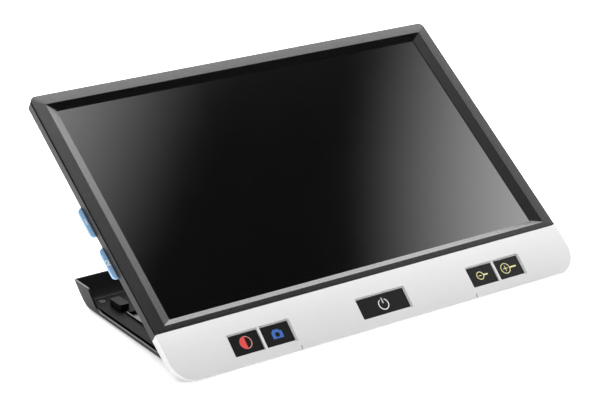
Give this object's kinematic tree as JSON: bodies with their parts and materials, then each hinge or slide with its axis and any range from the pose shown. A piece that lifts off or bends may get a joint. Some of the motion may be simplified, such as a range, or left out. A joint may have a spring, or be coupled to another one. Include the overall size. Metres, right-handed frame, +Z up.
{
  "type": "low vision magnifier",
  "caption": "Tabletop electronic reading magnifier: a thin tilted screen with a black bezel, a pale control panel and recessed keys, hinged at its front to a shallow fold-out stand.",
  "frame": {"origin": "on the table, at mid-width, straight under the screen's tilt axis, on the underside of the stand's front foot strip", "axes": "+X to the reader's right along the tilt axis, +Y away from the reader, +Z up"},
  "size_m": [0.2844, 0.1613, 0.115],
  "materials": {
    "bezel_plastic": "fine grained black moulded plastic",
    "panel_plastic": "smooth satin silver-grey painted plastic",
    "shell_plastic": "fine grained dark grey moulded plastic",
    "stand_plastic": "fine grained black moulded plastic",
    "key_plastic": "smooth satin black moulded plastic",
    "blue_plastic": "satin light blue moulded plastic",
    "screen_glass": "dark polished cover glass with the display switched off",
    "display_cell": "dark laminated display cell",
    "backlight_white": "white backlight frame and diffuser",
    "circuit_board": "green circuit board",
    "clear_window": "clear polished window",
    "battery_wrap": "shrink-wrapped cells",
    "rubber": "matte black rubber",
    "steel": "stamped and turned steel"
  },
  "bodies": {
    "stand": {"stand_tray": "stand_plastic", "stand_deck": "stand_plastic", "hinge_pin_left": "steel", "hinge_pin_right": "steel", "deck_screw_left": "steel", "deck_screw_right": "steel", "stop_block_left": "rubber", "stop_block_right": "rubber", "rear_foot_left": "rubber", "rear_foot_right": "rubber", "front_foot_strip": "rubber"},
    "screen_unit": {"front_bezel": "bezel_plastic", "cover_glass": "screen_glass", "lcd_panel": "display_cell", "backlight_panel": "backlight_white", "control_panel": "panel_plastic", "back_shell": "shell_plastic", "contrast_switch": "steel", "capture_switch": "steel", "power_switch": "steel", "zoom_out_switch": "steel", "zoom_in_switch": "steel", "button_board": "circuit_board", "side_switch_1": "steel", "side_switch_2": "steel", "side_key_board": "circuit_board", "camera_board": "circuit_board", "camera_barrel": "key_plastic", "camera_lens": "clear_window", "battery_pack": "battery_wrap", "main_board": "circuit_board", "processor_shield": "steel", "hdmi_port": "steel", "usb_port": "steel", "battery_door": "shell_plastic", "camera_window": "clear_window", "led_window_left": "clear_window", "led_window_right": "clear_window", "shell_screw_1": "steel", "shell_screw_2": "steel", "shell_screw_3": "steel", "shell_screw_4": "steel", "hinge_bracket_left": "steel", "hinge_bracket_right": "steel", "friction_washer_left": "steel", "friction_washer_right": "steel", "bracket_screw_left": "steel", "bracket_screw_right": "steel", "lip_pad_left": "rubber", "lip_pad_right": "rubber"},
    "contrast_button": {"contrast_button": "key_plastic"},
    "capture_button": {"capture_button": "key_plastic"},
    "power_button": {"power_button": "key_plastic"},
    "zoom_out_button": {"zoom_out_button": "key_plastic"},
    "zoom_in_button": {"zoom_in_button": "key_plastic"},
    "side_key_1": {"side_key_1": "blue_plastic"},
    "side_key_2": {"side_key_2": "blue_plastic"}
  },
  "joints": [
    {"name": "screen_tilt", "type": "hinge", "parent": "stand", "child": "screen_unit", "pos_m": [0, 0, 0.005], "axis": [1, 0, 0], "range_deg": [-35, 0]},
    {"name": "contrast_press", "type": "slide", "parent": "screen_unit", "child": "contrast_button", "axis": [0, 0.6827, -0.7307], "range_m": [0, 0.0005], "stiffness_N_per_m": 200, "springref_m": -0.002},
    {"name": "capture_press", "type": "slide", "parent": "screen_unit", "child": "capture_button", "axis": [0, 0.6827, -0.7307], "range_m": [0, 0.0005], "stiffness_N_per_m": 200, "springref_m": -0.002},
    {"name": "power_press", "type": "slide", "parent": "screen_unit", "child": "power_button", "axis": [0, 0.6827, -0.7307], "range_m": [0, 0.0005], "stiffness_N_per_m": 200, "springref_m": -0.002},
    {"name": "zoom_out_press", "type": "slide", "parent": "screen_unit", "child": "zoom_out_button", "axis": [0, 0.6827, -0.7307], "range_m": [0, 0.0005], "stiffness_N_per_m": 200, "springref_m": -0.002},
    {"name": "zoom_in_press", "type": "slide", "parent": "screen_unit", "child": "zoom_in_button", "axis": [0, 0.6827, -0.7307], "range_m": [0, 0.0005], "stiffness_N_per_m": 200, "springref_m": -0.002},
    {"name": "side_key_1_press", "type": "slide", "parent": "screen_unit", "child": "side_key_1", "axis": [1, 0, 0], "range_m": [0, 0.0015], "stiffness_N_per_m": 150, "springref_m": -0.003},
    {"name": "side_key_2_press", "type": "slide", "parent": "screen_unit", "child": "side_key_2", "axis": [1, 0, 0], "range_m": [0, 0.0015], "stiffness_N_per_m": 150, "springref_m": -0.003}
  ]
}
